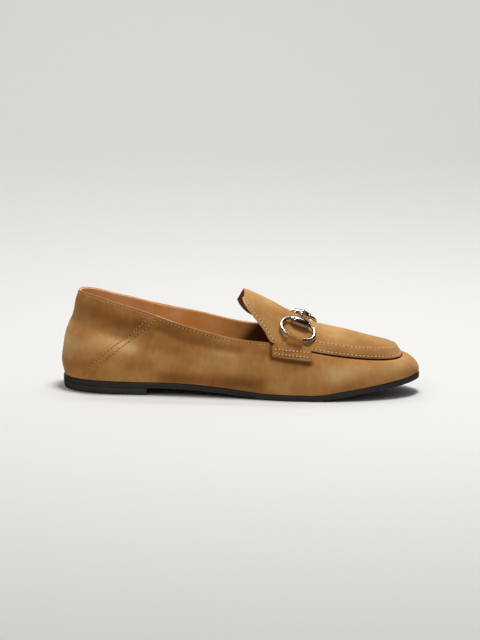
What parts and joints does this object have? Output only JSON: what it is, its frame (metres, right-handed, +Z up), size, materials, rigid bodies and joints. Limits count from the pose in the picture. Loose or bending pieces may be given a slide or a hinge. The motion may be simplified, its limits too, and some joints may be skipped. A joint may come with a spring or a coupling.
{
  "type": "bit loafer",
  "caption": "Low suede slip-on shoe with a raised apron, a tongue, side saddle straps and a jointed metal bit across the instep.",
  "frame": {"origin": "on the floor, under the centre of the heel block", "axes": "+X towards the toe, -Y to the lateral (outer) side of the right shoe, +Z up from the floor"},
  "size_m": [0.255, 0.0788, 0.0723],
  "materials": {
    "suede": "suede nap, camel",
    "plug_suede": "suede nap, camel",
    "sole_rubber": "satin black",
    "heel_rubber": "satin black",
    "lining": "smooth waxed tan",
    "bit_metal": "polished nickel plate"
  },
  "bodies": {
    "root": {"upper": "suede", "apron": "plug_suede", "outsole": "sole_rubber", "insole": "lining", "heel": "heel_rubber", "saddle_lateral": "suede", "saddle_medial": "suede", "bit_ring_lateral": "bit_metal", "bit_ring_medial": "bit_metal"},
    "bit_arm_lateral": {"bit_arm_lateral": "bit_metal"},
    "bit_arm_medial": {"bit_arm_medial": "bit_metal"}
  },
  "joints": [
    {"name": "bit_lift_lateral", "type": "hinge", "parent": "root", "child": "bit_arm_lateral", "pos_m": [0.13923, -0.01804, 0.05273], "axis": [0.9372, -0.0245, -0.3479], "range_deg": [0, 5]},
    {"name": "bit_lift_medial", "type": "hinge", "parent": "root", "child": "bit_arm_medial", "pos_m": [0.13934, 0.01757, 0.05198], "axis": [-0.9528, -0.0445, 0.3004], "range_deg": [0, 5]}
  ],
  "couplings": [
    {"joint": "bit_lift_medial", "follows": "bit_lift_lateral", "ratio": 1}
  ]
}
